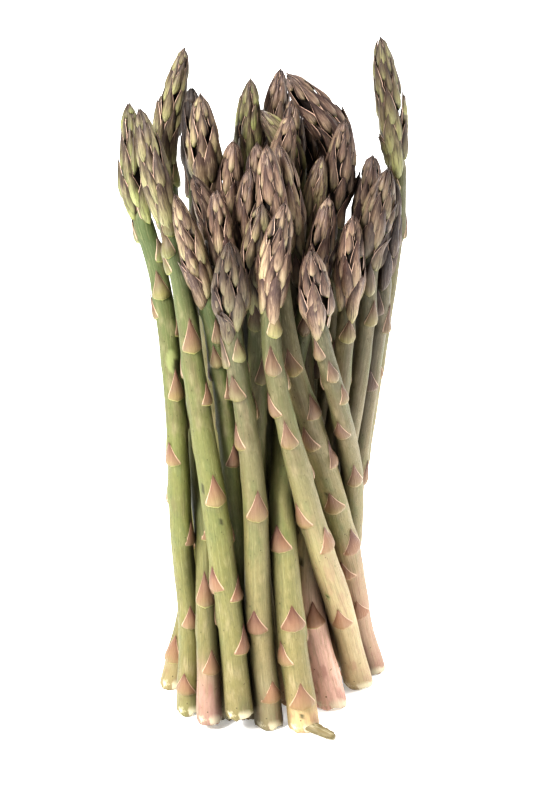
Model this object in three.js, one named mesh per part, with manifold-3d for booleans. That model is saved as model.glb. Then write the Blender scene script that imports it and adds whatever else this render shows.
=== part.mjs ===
// A bunch of fresh asparagus that stands on its cut ends, spread like a lightly twisted sheaf.
// Millimetres, +Z up. The origin is on the table, under the middle of the bunch's box.
// Each spear is one closed body: stem, stem scales and a head of overlapping bracts.
import * as THREE from "three";
import { mergeVertices } from "three/addons/utils/BufferGeometryUtils.js";
import Module from "manifold-3d";

// The middle of the bunch's box, seen from above: it is taken off every place below.
const MIDDLE = [1.2, 0.4];

// Room kept between two spears, so that the scales of one stay off the other.
const CLEAR = 1.0;
// How the spears are pressed apart, height by height.
const LEVEL = 6;
const LEVELS = 43;
const ROUNDS = 400;
const EASING_SHARE = 0.7;
const EASE = 0.99;
const PRESS = 0.35;
const SIDEWAYS = 0.35;

// Stem: an eight-sided sweep whose foot is a little flared.
const SIDES = 8;
const TAPER_FROM = 0.25;
const FLARE = 0.5;
const FLARE_HEIGHT = 22;
const FIRST_RING = 4;
const LONGEST_STEP = 26;
const SHORTEST_STEP = 3.5;
const NECK_GAP = 2;

// Stem scales: triangular leaves, broad at the base, whose points lie up the stem.
const SCALE_HEIGHT = 10.5;
const KEEL_RISE = 0.75;
const KEEL_AT = 0.12;
const POINT_RISE = 0.7;
const POINT_AT = 0.86;
// Below the stated scales, or below the neck where none is stated, more follow, each a turn of 135
// degrees on from the last and a little further down.
const FIRST_GAP = 14;
const GAP_GROWTH = 1.3;
const SCALE_TURN = 135;

// Head: bracts on a spiral, each a kite of the 5 and 8 step lattice with its point standing out.
const BRACTS = 40;
const GOLDEN_TURN = 137.5;
const LEFT = 5;
const RIGHT = 8;
const OVER = LEFT + RIGHT;
const CROWDING = 0.2;
const SHOULDER = 0.3;
const TIP_POWER = 1.8;
const VALLEY = 0.88;
const BRACT_POINT = 0.8;
const BRACT_RISE = 0.55;
const RISE_FADE = 4;

// A strip of skin, torn at one foot, that lies out on the table: its root, its end and its size.
const TORN_SPEAR = "spear_14";
const SLIVER_ROOT = [17.5, -34, 2.4];
const SLIVER_END = [27, -41.5, 1.3];
const SLIVER_WIDTH = [7, 5];
const SLIVER_THICKNESS = [3.4, 2.4];

const MERGE_WITHIN = 1e-4;

const GREEN = 0x8f9a5c;
const OLIVE = 0x99955f;
const TAN = 0xa08a6c;
const ROUGHNESS = 0.55;

// Each spear: points of its middle line from the cut end to the tip, the stem's radius at the foot and
// at the neck, the head's length and radius, and its stem scales as [height, degrees round to the right
// of the front].
const SPEARS = [
  {
    path: [[-26, -19, 0], [-24.3, -20, 50.5], [-27, -23, 96.5], [-31.2, -18, 138.5], [-36.2, -11, 171],
      [-44.6, -3, 200.5], [-47.2, 3, 232.5]],
    stem: [4.2, 3.5], head: [40, 4.9], tint: GREEN,
    scales: [[194, 30], [178, 60], [166, 0], [152, 90], [130, 15], [106, -40], [74, 60], [39, 10],
      [11, -25]],
  },
  {
    path: [[-8, -34, 7], [-12.5, -35, 55], [-16.8, -34, 90.5], [-22, -31, 132.5], [-28.4, -24, 181.5],
      [-35.6, -17, 209], [-42, -11, 234.5]],
    stem: [4.9, 3.4], head: [38, 4.8], tint: GREEN,
    scales: [[193, 10], [186, -40], [174, 90], [152, 15], [132, 60], [95, 20], [62, -50], [57, 70],
      [36, 60]],
  },
  {
    path: [[-5, -21, 0], [-6.5, -20, 64], [-10, -19, 96], [-13.5, -20, 128], [-20, -22, 165.5],
      [-26, -25, 189.5], [-31, -28, 209]],
    stem: [3.9, 3.2], head: [40, 4.3], tint: GREEN,
    scales: [[184, -30], [172, -40], [154, 35], [145, -5], [132, 60], [106, 30]],
  },
  {
    path: [[3, -28, 0], [0, -32, 53.5], [-1.5, -34, 94.5], [-5, -36, 127], [-9.5, -39, 156.5],
      [-11, -43, 196]],
    stem: [5, 3.6], head: [32, 6], tint: GREEN,
    scales: [[164, -20], [153, 30], [138, -30], [118, -60], [90, 15], [44, -20], [14, 30]],
  },
  {
    path: [[-2, -6, 0], [-2, -12, 60.5], [-2, -21, 116.5], [-1, -25, 157], [-2, -27, 184.5],
      [0.5, -27, 205]],
    stem: [4.2, 3.4], head: [38, 5.1], tint: OLIVE,
    scales: [[160, -10], [139, 25]],
  },
  {
    path: [[33, 7, 0], [27.5, -2, 26], [15, -25, 82.5], [8.5, -35, 118.5], [3, -37, 150.5],
      [3, -36, 178], [8, -36, 208.5]],
    stem: [5.1, 3.5], head: [38, 5.3], tint: OLIVE,
    scales: [[174, 20], [168, -35], [162, 30], [148, -5], [132, -60], [120, -5], [86, -45], [73, 60],
      [36, 0]],
  },
  {
    path: [[27, 20, 0], [32, 13, 44.5], [33.5, 5, 73], [32, -9, 101.5], [26, -25, 134],
      [20.5, -34, 160.5], [17.5, -39, 192]],
    stem: [4.6, 3.3], head: [30, 5.5], tint: TAN,
    scales: [[162, -20], [158, 60], [152, -30], [142, 25], [131, 60], [116, -15], [92, 20]],
  },
  {
    path: [[18, 10, 0], [24, 6, 68.5], [29, -6, 122.5], [31.5, -13, 160.5], [33.5, -16, 197.5]],
    stem: [4.4, 3.3], head: [34, 5], tint: TAN,
    scales: [[169, 30], [162, -10], [151, 15]],
  },
  {
    path: [[16, 26, 0], [28, 14, 73.5], [34.2, 6, 109.5], [38.8, -3, 152.5], [40.5, -8, 185.5],
      [46, -9, 213]],
    stem: [4.4, 3.5], head: [32, 5.2], tint: TAN,
    scales: [[180, 60], [155, 35]],
  },
  {
    path: [[26, 30, 0], [31, 20, 58], [35.2, 13, 94.5], [38.6, 5, 124], [41.4, -2, 152.5],
      [43.2, -6, 177], [46.2, -10, 206.5]],
    stem: [4.5, 3.6], head: [38, 4.6], tint: TAN,
    scales: [[166, 10], [156, -20], [148, 75], [124, -5], [81, 60]],
  },
  {
    path: [[22, 38, 0], [32, 29, 58], [38, 24, 98], [45, 20, 148], [49.8, 22, 194.5], [43, 26, 251]],
    stem: [4.7, 3.5], head: [46, 4.9], tint: TAN,
    scales: [[204, 10], [196, -30]],
  },
  {
    path: [[41, 20, 0], [37, 15, 17.5], [31.5, 3, 53.5], [24.5, -9, 87.5], [16, -17, 119],
      [9.5, -21, 144], [5, -22, 179], [1.5, -19, 223.5]],
    stem: [5.4, 3.6], head: [36, 5], tint: TAN,
    scales: [[142, 0], [124, 45], [112, -30], [102, 75], [84, 5], [63, 45], [52, -20], [32, 15]],
  },
  {
    path: [[27, -11, 0], [18, -6, 41], [16, -2, 80.5], [15.5, -5, 122], [14.5, -9, 162.5],
      [6.5, -7, 220.5]],
    stem: [5.7, 3.6], head: [38, 5.5], tint: TAN,
    scales: [[180, 60], [152, -60], [148, 30], [34, 15]],
  },
  {
    path: [[15.5, -32, 0], [10, -33, 45.5], [8, -30, 85], [9, -21, 112.5], [13.5, -12, 144.5],
      [20.5, -10, 178.5], [24, -9, 202]],
    stem: [5.4, 3.6], head: [36, 5.2], tint: OLIVE,
    scales: [[118, 60], [75, -20], [44, 15], [30, -50], [12, 10]],
  },
  {
    path: [[17, -2, 0], [9, -8, 58.5], [0, -13, 113.5], [-5, -14, 157], [-6, -14, 180],
      [-4.5, -12, 213.5]],
    stem: [4.4, 3.5], head: [34, 5], tint: OLIVE,
    scales: [[118, -30]],
  },
  {
    path: [[-14, -12, 0], [-9.5, -13, 60.5], [-8.5, -17, 127], [-11, -21, 167], [-14.5, -21, 189.5],
      [-16, -20, 208]],
    stem: [3.9, 3.2], head: [30, 4.6], tint: OLIVE,
    scales: [],
  },
  {
    path: [[8, -14, 0], [0, -12, 60.5], [-6, -11, 124.5], [-12, -13, 172], [-16.5, -14, 193],
      [-23.5, -15, 211]],
    stem: [3.9, 3.3], head: [32, 4.6], tint: OLIVE,
    scales: [],
  },
  {
    path: [[-13, -26, 0], [-12.5, -17, 46], [-15, -11, 92.5], [-19, -7, 130.5], [-20.5, -4, 161],
      [-19.5, -1, 190.5], [-22, 3, 236]],
    stem: [3.5, 3.3], head: [34, 5.5], tint: OLIVE,
    scales: [],
  },
  {
    path: [[-19, -27, 3], [-20.5, -27, 51], [-21, -18, 76.5], [-21.5, -9, 104.5], [-22.6, -1, 148.5],
      [-22.4, 6, 192], [-25, 12, 236]],
    stem: [4.4, 3.4], head: [34, 4.5], tint: OLIVE,
    scales: [[74, 35], [52, -10], [26, 20]],
  },
  {
    path: [[-35, 3, 0], [-27.5, 6, 35], [-25.8, 9, 59], [-25.5, 14, 102], [-28, 18, 145],
      [-33.8, 21, 193], [-35.2, 22, 210], [-28, 24, 247]],
    stem: [4.3, 3.3], head: [42, 4.2], tint: GREEN,
    scales: [[216, -5], [208, 40], [58, -45], [12, -40]],
  },
  {
    path: [[-22, -6, 0], [-13.5, -7, 82.5], [-11, -6, 150], [-10, -5, 199.5], [-9, -5, 221]],
    stem: [3.8, 3.2], head: [30, 4.4], tint: GREEN,
    scales: [],
  },
  {
    path: [[-9, -2, 0], [-3.5, -4, 73], [-2.5, -3, 141], [-2, -3, 191], [-2, -3, 220]],
    stem: [3.9, 3.2], head: [30, 4.5], tint: OLIVE,
    scales: [],
  },
  {
    path: [[-9, 9, 0], [-4.5, 6, 68.5], [0, 3, 138.5], [4, -1, 198], [10, -4, 229.5]],
    stem: [3.9, 3.2], head: [30, 4.5], tint: TAN,
    scales: [],
  },
  {
    path: [[0, 26, 0], [5, 18, 63], [10, 13, 135], [11.5, 11, 194], [9, 11, 215], [0, 11, 227.5]],
    stem: [3.9, 3.3], head: [32, 4.6], tint: OLIVE,
    scales: [],
  },
  {
    path: [[-13, 21, 0], [-2.5, 18, 71.5], [5, 17, 141.5], [10, 20, 191], [11.5, 22, 228.5]],
    stem: [4, 3.3], head: [32, 4.6], tint: TAN,
    scales: [],
  },
  {
    path: [[-28, 17, 0], [-20, 17, 72], [-13, 18, 141], [-6, 19, 191.5], [-4, 20, 237]],
    stem: [4.2, 3.4], head: [34, 4.6], tint: GREEN,
    scales: [],
  },
  {
    path: [[-18, 31, 0], [-8.5, 26, 76.5], [-3.5, 27, 141.5], [1, 28, 188.5], [7, 30, 237.5]],
    stem: [4.2, 3.4], head: [34, 4.9], tint: TAN,
    scales: [],
  },
  {
    path: [[-4, 38, 0], [9, 30, 74.5], [18.5, 22, 151.5], [24, 17, 192], [25.5, 15, 219],
      [9.5, 14, 240]],
    stem: [4.4, 3.5], head: [42, 6.2], tint: TAN,
    scales: [],
  },
  {
    path: [[8, 33, 0], [17, 25, 77], [24.5, 14, 142.5], [26.2, 8, 187.5], [29.8, 5, 226.5]],
    stem: [4.4, 3.4], head: [36, 5.3], tint: TAN,
    scales: [],
  },
  {
    path: [[16, 38, 0], [24.5, 29, 75], [32.3, 17, 141.5], [37, 10, 183], [40.2, 7, 212]],
    stem: [4.2, 3.4], head: [30, 4.7], tint: TAN,
    scales: [],
  },
  {
    path: [[6, 16, 0], [14.5, 8, 67.5], [17, 4, 118.5], [18.5, 1, 159], [19, 0, 198], [22, 2, 213]],
    stem: [3.9, 3.2], head: [26, 4], tint: OLIVE,
    scales: [],
  },
  {
    path: [[5, 42, 0], [13, 38, 70], [19, 32, 148], [20, 29, 182.5], [19, 28, 198.5], [17, 27, 222]],
    stem: [4.3, 3.4], head: [34, 4.6], tint: TAN,
    scales: [],
  },
];

const wasm = await Module();
wasm.setup();

const radians = THREE.MathUtils.degToRad;
const mix = THREE.MathUtils.lerp;
const ease = THREE.MathUtils.smoothstep;

// ---- Middle lines ----

// The slope of coordinate `axis` against height at point `i` of a path.
function slopeAt(path, i, axis) {
  const rise = (a, b) => (path[b][axis] - path[a][axis]) / (path[b][2] - path[a][2]);
  if (i === 0) return rise(0, 1);
  if (i === path.length - 1) return rise(i - 1, i);
  const below = path[i][2] - path[i - 1][2];
  const above = path[i + 1][2] - path[i][2];
  return (rise(i, i + 1) * below + rise(i - 1, i) * above) / (below + above);
}

// The smooth line through a path's points, as a place at height z.
function lineAt(path, z) {
  let i = 0;
  while (i < path.length - 2 && z > path[i + 1][2]) i += 1;
  const span = path[i + 1][2] - path[i][2];
  const t = (z - path[i][2]) / span;
  return [0, 1].map((axis) => {
    const from = path[i][axis];
    const to = path[i + 1][axis];
    const leave = slopeAt(path, i, axis) * span;
    const arrive = slopeAt(path, i + 1, axis) * span;
    const bend = (2 * t - 3) * t * t;
    return from * (1 + bend) - to * bend + leave * t * (1 - t) * (1 - t) + arrive * t * t * (t - 1);
  });
}

const footOf = (row) => row.path[0][2];
const tipOf = (row) => row.path[row.path.length - 1][2];

// How far below the tip, along the spear, each whole step of height lies.
function measure(row) {
  const steps = Math.ceil(tipOf(row) - footOf(row));
  const heights = Array.from({ length: steps + 1 }, (_, i) => mix(tipOf(row), footOf(row), i / steps));
  const places = heights.map((z) => [...lineAt(row.path, z), z]);
  let below = 0;
  return heights.map((z, i) => {
    if (i > 0) below += Math.hypot(...places[i].map((v, axis) => v - places[i - 1][axis]));
    return { z, below };
  });
}

// The value of `wanted` where `known` has the given value, between rows of the measured table.
function lookUp(table, known, value, wanted) {
  const falling = table[0][known] > table[table.length - 1][known];
  let i = 1;
  while (i < table.length - 1 && (falling ? table[i][known] > value : table[i][known] < value)) i += 1;
  const t = (value - table[i - 1][known]) / (table[i][known] - table[i - 1][known]);
  return mix(table[i - 1][wanted], table[i][wanted], t);
}

// The spear's radius at height z, over stem, neck and head.
function radiusAt(row, z) {
  const [footRadius, neckRadius] = row.stem;
  const [headLength, headRadius] = row.head;
  const below = lookUp(row.table, "z", z, "below");
  const length = row.table[row.table.length - 1].below;
  if (below >= headLength) {
    const up = (length - below) / (length - headLength);
    const flare = FLARE * (1 - ease(z - footOf(row), 0, FLARE_HEIGHT));
    return mix(footRadius, neckRadius, ease(up, TAPER_FROM, 1)) + flare;
  }
  const t = 1 - below / headLength;
  if (t < SHOULDER) return mix(neckRadius, headRadius, ease(t, 0, SHOULDER));
  return headRadius * Math.sqrt(Math.max(0, 1 - ((t - SHOULDER) / (1 - SHOULDER)) ** TIP_POWER));
}

// ---- Pressing the spears apart ----

// At each level, spears that stand too close are pushed apart, mostly in depth, and each spear's shifts
// are smoothed along it, so that it stays an even curve.
function settle(rows) {
  const zs = Array.from({ length: LEVELS }, (_, i) => i * LEVEL);
  const spears = rows.map((row) => {
    const clamp = (z) => Math.min(Math.max(z, footOf(row)), tipOf(row));
    return {
      on: zs.map((z) => z >= footOf(row) - LEVEL / 2 && z <= tipOf(row)),
      home: zs.map((z) => lineAt(row.path, clamp(z))),
      radius: zs.map((z) => radiusAt(row, clamp(z)) * leanFactor(row, clamp(z))),
      shift: zs.map(() => [0, 0]),
    };
  });
  for (let round = 0; round < ROUNDS; round += 1) {
    const pushes = spears.map(() => zs.map(() => [0, 0]));
    spears.forEach((a, i) => {
      for (let j = i + 1; j < spears.length; j += 1) press(a, spears[j], pushes[i], pushes[j]);
    });
    spears.forEach((spear, i) => {
      const moved = spear.shift.map(([x, y], k) => [x + pushes[i][k][0], y + pushes[i][k][1]]);
      const keep = round < ROUNDS * EASING_SHARE ? EASE : 1;
      spear.shift = moved.map((here, k) => {
        const lower = moved[Math.max(k - 1, 0)];
        const upper = moved[Math.min(k + 1, LEVELS - 1)];
        return here.map((v, axis) => keep * (0.25 * lower[axis] + 0.5 * v + 0.25 * upper[axis]));
      });
    });
  }
  return spears.map((spear) => spear.shift);
}

// A leaning spear takes more room at one level than an upright one.
function leanFactor(row, z) {
  const low = Math.max(z - 0.5, footOf(row));
  const high = Math.min(z + 0.5, tipOf(row));
  const [a, b] = [lineAt(row.path, low), lineAt(row.path, high)];
  return (1 + (Math.hypot(a[0] - b[0], a[1] - b[1]) / (high - low)) ** 2) ** 0.25;
}

// Adds to both spears' pushes what sets them CLEAR of each other at each level.
function press(a, b, pushA, pushB) {
  for (let k = 0; k < LEVELS; k += 1) {
    if (!a.on[k] || !b.on[k]) continue;
    const dx = a.home[k][0] + a.shift[k][0] - b.home[k][0] - b.shift[k][0];
    const dy = a.home[k][1] + a.shift[k][1] - b.home[k][1] - b.shift[k][1];
    const apart = Math.hypot(dx, dy) + 1e-9;
    const lack = a.radius[k] + b.radius[k] + CLEAR - apart;
    if (lack <= 0) continue;
    const [nx, ny] = [dx / apart, dy / apart];
    const step = (PRESS * lack) / (SIDEWAYS * nx * nx + ny * ny);
    pushA[k][0] += step * SIDEWAYS * nx;
    pushA[k][1] += step * ny;
    pushB[k][0] -= step * SIDEWAYS * nx;
    pushB[k][1] -= step * ny;
  }
}

// ---- Surface of one spear ----

// The settled middle line at height z.
function middleAt(row, z) {
  const [x, y] = lineAt(row.path, Math.min(Math.max(z, footOf(row)), tipOf(row)));
  const level = Math.min(Math.max(z / LEVEL, 0), LEVELS - 1.001);
  const k = Math.floor(level);
  const [sx, sy] = [0, 1].map((axis) => mix(row.shift[k][axis], row.shift[k + 1][axis], level - k));
  return new THREE.Vector3(x + sx - MIDDLE[0], y + sy - MIDDLE[1], z);
}

// A point at height z of the spear's middle line, `turn` degrees round to the right of the front, and
// `radius` out, square to the line.
function pointOn(row, z, turn, radius) {
  const middle = middleAt(row, z);
  const [low, high] = [Math.max(z - 1, footOf(row)), Math.min(z + 1, tipOf(row))];
  const along = middleAt(row, high).sub(middleAt(row, low)).normalize();
  const across = new THREE.Vector3(1, 0, 0).addScaledVector(along, -along.x).normalize();
  const back = new THREE.Vector3().crossVectors(along, across);
  const angle = radians(turn);
  return middle
    .addScaledVector(across, radius * Math.sin(angle))
    .addScaledVector(back, -radius * Math.cos(angle));
}

// The stem's scales as { z, side }: the stated ones, one on the far side between each two of them, and
// those that follow below.
function scalesOf(row, neck) {
  const side = (turn) => ((Math.round((turn * SIDES) / 360) % SIDES) + SIDES) % SIDES;
  const stated = row.scales.map(([z, turn]) => ({ z, side: side(turn) }));
  const between = stated.slice(1).map((lower, i) => ({
    z: (lower.z + stated[i].z) / 2,
    side: (lower.side + SIDES / 2) % SIDES,
  }));
  const following = [];
  let [z, turn] = row.scales.length > 0 ? row.scales[row.scales.length - 1] : [neck, 0];
  let gap = FIRST_GAP * GAP_GROWTH ** (stated.length / 2);
  while (z - gap > footOf(row) + FIRST_RING) {
    z -= gap;
    turn += SCALE_TURN;
    gap *= GAP_GROWTH;
    following.push({ z, side: side(turn) });
  }
  return [...stated, ...between, ...following].filter((scale) => scale.z < neck - SHORTEST_STEP);
}

// Heights of the stem's rings: one at the base and one at the top of each scale, and more where the
// stem is bare for long.
function ringHeights(row, neck, scales) {
  const wanted = scales.flatMap(({ z }) => [z, z + SCALE_HEIGHT]);
  const heights = [footOf(row) + FIRST_RING];
  for (const z of [...wanted.sort((a, b) => a - b), neck]) {
    const last = heights[heights.length - 1];
    const gap = z - last;
    if (z < neck && (gap < SHORTEST_STEP || neck - z < SHORTEST_STEP)) continue;
    const steps = Math.ceil(gap / LONGEST_STEP);
    for (let i = 1; i <= steps; i += 1) heights.push(last + (gap * i) / steps);
  }
  return heights;
}

// Collects points and triangles, wound anticlockwise as seen from outside.
class Skin {
  constructor() {
    this.points = [];
    this.faces = [];
  }

  add(point) {
    this.points.push(point.x, point.y, point.z);
    return this.points.length / 3 - 1;
  }

  face(...corners) {
    for (let i = 1; i < corners.length - 1; i += 1) this.faces.push(corners[0], corners[i], corners[i + 1]);
  }

  geometry() {
    const made = new THREE.BufferGeometry();
    made.setAttribute("position", new THREE.Float32BufferAttribute(this.points, 3));
    made.setIndex(this.faces);
    return made;
  }
}

// The foot's flat cut and the stem with its scales. Gives the ring of points at the neck.
function growStem(skin, row, neck) {
  const turns = Array.from({ length: SIDES }, (_, i) => (360 / SIDES) * i);
  const scales = scalesOf(row, neck);
  const heights = ringHeights(row, neck, scales);
  const foot = middleAt(row, footOf(row));
  const footRadius = radiusAt(row, footOf(row));
  const around = (turn) => new THREE.Vector3(Math.sin(radians(turn)), -Math.cos(radians(turn)), 0);
  let ring = turns.map((turn) => skin.add(around(turn).multiplyScalar(footRadius).add(foot)));
  skin.face(...[...ring].reverse());
  let below = footOf(row);
  for (const z of heights) {
    const next = turns.map((turn) => skin.add(pointOn(row, z, turn, radiusAt(row, z))));
    const scale = scales.find((each) => Math.abs(each.z - below) < SHORTEST_STEP / 2);
    const patch = scale && z - below < 2 * SCALE_HEIGHT ? scale.side : -1;
    turns.forEach((_, i) => {
      const j = (i + 1) % SIDES;
      if (i === patch || j === patch) return;
      skin.face(ring[i], ring[j], next[j], next[i]);
    });
    if (patch >= 0) growScale(skin, row, { ring, next, side: patch, from: below, to: z });
    ring = next;
    below = z;
  }
  return ring;
}

// One scale over two sides of the stem, between two rings: a keel that stands out at its base and a
// point that stands out near its top.
function growScale(skin, row, { ring, next, side, from, to }) {
  const turn = (360 / SIDES) * side;
  const left = (side + SIDES - 1) % SIDES;
  const right = (side + 1) % SIDES;
  const keelHeight = mix(from, to, KEEL_AT);
  const pointHeight = mix(from, to, POINT_AT);
  const keel = skin.add(pointOn(row, keelHeight, turn, radiusAt(row, keelHeight) + KEEL_RISE));
  const point = skin.add(pointOn(row, pointHeight, turn, radiusAt(row, pointHeight) + POINT_RISE));
  skin.face(ring[left], ring[side], keel);
  skin.face(ring[side], ring[right], keel);
  skin.face(ring[left], keel, point, next[left]);
  skin.face(keel, ring[right], next[right], point);
  skin.face(point, next[side], next[left]);
  skin.face(point, next[right], next[side]);
}

// The head: a lattice of hollows on a golden spiral, with each bract's point raised inside its kite.
function growHead(skin, row, neckRing) {
  const [headLength] = row.head;
  const roll = row.scales.length > 0 ? row.scales[0][1] : 0;
  const along = (index) => {
    const t = Math.min(index / BRACTS, 1);
    return t * (1 + CROWDING - CROWDING * t);
  };
  const heightAt = (share) => lookUp(row.table, "below", headLength * (1 - share), "z");
  const hollows = Array.from({ length: BRACTS }, (_, k) => {
    const z = heightAt(along(k));
    return skin.add(pointOn(row, z, roll + GOLDEN_TURN * k, radiusAt(row, z) * VALLEY));
  });
  const tip = skin.add(middleAt(row, tipOf(row)));
  const hollow = (k) => (k < BRACTS ? hollows[k] : tip);
  for (let k = 0; k + LEFT < BRACTS; k += 1) {
    const share = mix(along(k), along(k + OVER), BRACT_POINT);
    const z = heightAt(share);
    const turn = roll + GOLDEN_TURN * k + BRACT_POINT * (GOLDEN_TURN * OVER - 360 * LEFT);
    const rise = BRACT_RISE * Math.min(1, RISE_FADE * (1 - share));
    const point = skin.add(pointOn(row, z, turn, radiusAt(row, z) + rise));
    const kite = [hollow(k), hollow(k + RIGHT), hollow(k + OVER), hollow(k + LEFT)];
    kite.forEach((corner, i) => {
      const after = kite[(i + 1) % 4];
      if (corner !== after) skin.face(corner, after, point);
    });
  }
  stitch(skin, neckRing, roll, hollows);
}

// Joins the neck's ring to the zigzag of the lattice's lowest hollows, going round both by angle.
function stitch(skin, neckRing, roll, hollows) {
  const wrap = (turn) => ((turn % 360) + 360) % 360;
  const upper = Array.from({ length: OVER }, (_, k) => ({
    turn: wrap(roll + GOLDEN_TURN * k),
    point: hollows[k],
  })).sort((a, b) => a.turn - b.turn);
  const lower = neckRing.map((point, i) => ({ turn: (360 / SIDES) * i, point }));
  const at = (list, i) => ({
    turn: list[i % list.length].turn + 360 * Math.floor(i / list.length),
    point: list[i % list.length].point,
  });
  let [i, j] = [0, 0];
  while (i < lower.length || j < upper.length) {
    const [low, high] = [at(lower, i), at(upper, j)];
    const [nextLow, nextHigh] = [at(lower, i + 1), at(upper, j + 1)];
    if (j >= upper.length || (i < lower.length && nextLow.turn <= nextHigh.turn)) {
      skin.face(low.point, nextLow.point, high.point);
      i += 1;
    } else {
      skin.face(low.point, nextHigh.point, high.point);
      j += 1;
    }
  }
}

function spearGeometry(row) {
  const [headLength] = row.head;
  const neck = lookUp(row.table, "below", headLength + NECK_GAP, "z");
  const skin = new Skin();
  growHead(skin, row, growStem(skin, row, neck));
  return skin.geometry();
}

// ---- Torn strip ----

// A tapered bar from the foot out to the strip's end.
function sliverGeometry() {
  const place = ([x, y, z]) => new THREE.Vector3(x - MIDDLE[0], y - MIDDLE[1], z);
  const [root, end] = [place(SLIVER_ROOT), place(SLIVER_END)];
  const along = end.clone().sub(root).normalize();
  const across = new THREE.Vector3().crossVectors(along, new THREE.Vector3(0, 0, 1)).normalize();
  const up = new THREE.Vector3().crossVectors(across, along);
  const skin = new Skin();
  const [near, far] = [root, end].map((middle, i) =>
    [[-1, -1], [1, -1], [1, 1], [-1, 1]].map(([side, height]) =>
      skin.add(
        middle
          .clone()
          .addScaledVector(across, (side * SLIVER_WIDTH[i]) / 2)
          .addScaledVector(up, (height * SLIVER_THICKNESS[i]) / 2),
      ),
    ),
  );
  skin.face(...near);
  skin.face(...[...far].reverse());
  near.forEach((_, i) => skin.face(near[(i + 1) % 4], near[i], far[i], far[(i + 1) % 4]));
  return skin.geometry();
}

// ---- Solids ----

function solid(geometry) {
  const merged = mergeVertices(geometry, MERGE_WITHIN);
  const mesh = new wasm.Mesh({
    numProp: 3,
    vertProperties: merged.attributes.position.array,
    triVerts: new Uint32Array(merged.index.array),
  });
  return new wasm.Manifold(mesh);
}

function geometryOf(body) {
  const { vertProperties, triVerts } = body.getMesh();
  const made = new THREE.BufferGeometry();
  made.setAttribute("position", new THREE.BufferAttribute(vertProperties, 3));
  made.setIndex(new THREE.BufferAttribute(triVerts, 1));
  return made;
}

const rows = SPEARS.map((row, i) => ({ ...row, name: `spear_${String(i + 1).padStart(2, "0")}` }));
rows.forEach((row) => {
  row.table = measure(row);
});
settle(rows).forEach((shift, i) => {
  rows[i].shift = shift;
});

const bunch = new THREE.Group();
for (const row of rows) {
  let geometry = spearGeometry(row);
  if (row.name === TORN_SPEAR) geometry = geometryOf(solid(geometry).add(solid(sliverGeometry())));
  const material = new THREE.MeshStandardMaterial({ color: row.tint, roughness: ROUGHNESS, metalness: 0 });
  const mesh = new THREE.Mesh(geometry, material);
  mesh.name = row.name;
  bunch.add(mesh);
}

export default bunch;
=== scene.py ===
# A bunch of fresh asparagus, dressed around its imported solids. Each spear is one piece: a swept stem,
# triangular stem scales and a head of overlapping bracts, all laid on the spear's settled middle line.
import math
import random
from functools import partial

import bmesh
import bpy
import numpy as np
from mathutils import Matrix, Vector


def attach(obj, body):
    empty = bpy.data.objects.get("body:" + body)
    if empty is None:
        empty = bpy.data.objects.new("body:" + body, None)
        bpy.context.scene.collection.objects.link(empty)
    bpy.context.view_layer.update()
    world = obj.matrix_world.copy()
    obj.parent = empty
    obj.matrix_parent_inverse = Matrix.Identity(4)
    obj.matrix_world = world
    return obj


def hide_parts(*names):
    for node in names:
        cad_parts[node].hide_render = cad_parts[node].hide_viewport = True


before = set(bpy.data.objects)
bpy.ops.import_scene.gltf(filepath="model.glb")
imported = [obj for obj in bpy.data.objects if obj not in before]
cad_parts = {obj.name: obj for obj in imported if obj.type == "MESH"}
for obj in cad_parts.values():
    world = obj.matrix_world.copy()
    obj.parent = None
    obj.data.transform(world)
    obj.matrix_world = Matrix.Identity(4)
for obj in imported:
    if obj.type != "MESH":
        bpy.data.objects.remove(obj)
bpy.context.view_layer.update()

MM = 0.001

# ---- The bunch ----
# The same named values and rows as the solids', in millimetres, +Z up.

MIDDLE = (1.2, 0.4)
CLEAR = 1.0
LEVEL = 6.0
LEVELS = 43
ROUNDS = 400
EASING_SHARE = 0.7
EASE = 0.99
PRESS = 0.35
SIDEWAYS = 0.35
TAPER_FROM = 0.25
FLARE = 0.5
FLARE_HEIGHT = 22.0
FIRST_GAP = 14.0
GAP_GROWTH = 1.3
SCALE_TURN = 135.0
GOLDEN_TURN = 137.5
SHOULDER = 0.3
TIP_POWER = 1.8

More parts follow.
